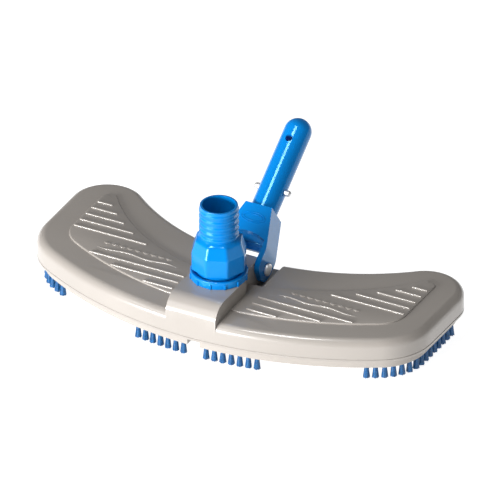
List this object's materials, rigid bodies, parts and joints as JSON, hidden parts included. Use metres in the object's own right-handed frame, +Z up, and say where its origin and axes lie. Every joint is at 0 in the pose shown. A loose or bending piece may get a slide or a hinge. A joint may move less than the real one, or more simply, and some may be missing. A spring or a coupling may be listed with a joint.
{
  "type": "manual pool vacuum head",
  "caption": "Crescent-shaped weighted pool vacuum head on bristle tufts, with a swivelling barbed hose adapter and a tilting pole handle with spring buttons.",
  "frame": {"origin": "on the floor, under the middle of the bounding box", "axes": "+X to the right along the long side, +Y to the rear (concave edge and handle side), +Z up"},
  "size_m": [0.432, 0.2428, 0.1548],
  "materials": {
    "grey_plastic": "gloss warm grey moulded plastic",
    "blue_plastic": "gloss bright blue moulded plastic",
    "blue_bristle": "blue nylon filament",
    "stainless": "stainless steel",
    "cast_iron": "coated cast iron",
    "anchor_wire": "flat wire",
    "white_plastic": "slippery white plastic",
    "black_rubber": "soft black rubber"
  },
  "bodies": {
    "head": {"top_shell": "grey_plastic", "base_plate": "grey_plastic", "ballast_left": "cast_iron", "ballast_right": "cast_iron", "base_screws": "stainless", "tuft_anchors": "anchor_wire", "bristles_front_left": "blue_bristle", "bristles_front_right": "blue_bristle", "bristles_tip_left": "blue_bristle", "bristles_tip_right": "blue_bristle", "bristles_rear_left": "blue_bristle", "bristles_rear_right": "blue_bristle", "swivel_collar": "blue_plastic", "swivel_washer": "white_plastic"},
    "adapter": {"hose_adapter": "blue_plastic", "swivel_seal": "black_rubber"},
    "handle": {"handle": "blue_plastic", "hinge_pin": "stainless", "pin_clip": "stainless", "button_spring": "stainless"},
    "button_left": {"button_left": "stainless"},
    "button_right": {"button_right": "stainless"}
  },
  "joints": [
    {"name": "adapter_swivel", "type": "hinge", "parent": "head", "child": "adapter", "pos_m": [0, -0.05994, 0.07], "axis": [0, 0, 1], "continuous": true},
    {"name": "handle_pivot", "type": "hinge", "parent": "head", "child": "handle", "pos_m": [0, -0.00894, 0.0519], "axis": [1, 0, 0], "range_deg": [-32, 54]},
    {"name": "button_left_press", "type": "slide", "parent": "handle", "child": "button_left", "axis": [1, 0, 0], "range_m": [0, 0.0062], "stiffness_N_per_m": 400, "springref_m": -0.002, "deforming": ["button_spring"]},
    {"name": "button_right_press", "type": "slide", "parent": "handle", "child": "button_right", "axis": [-1, 0, 0], "range_m": [0, 0.0062], "stiffness_N_per_m": 400, "springref_m": -0.002, "deforming": ["button_spring"]}
  ]
}
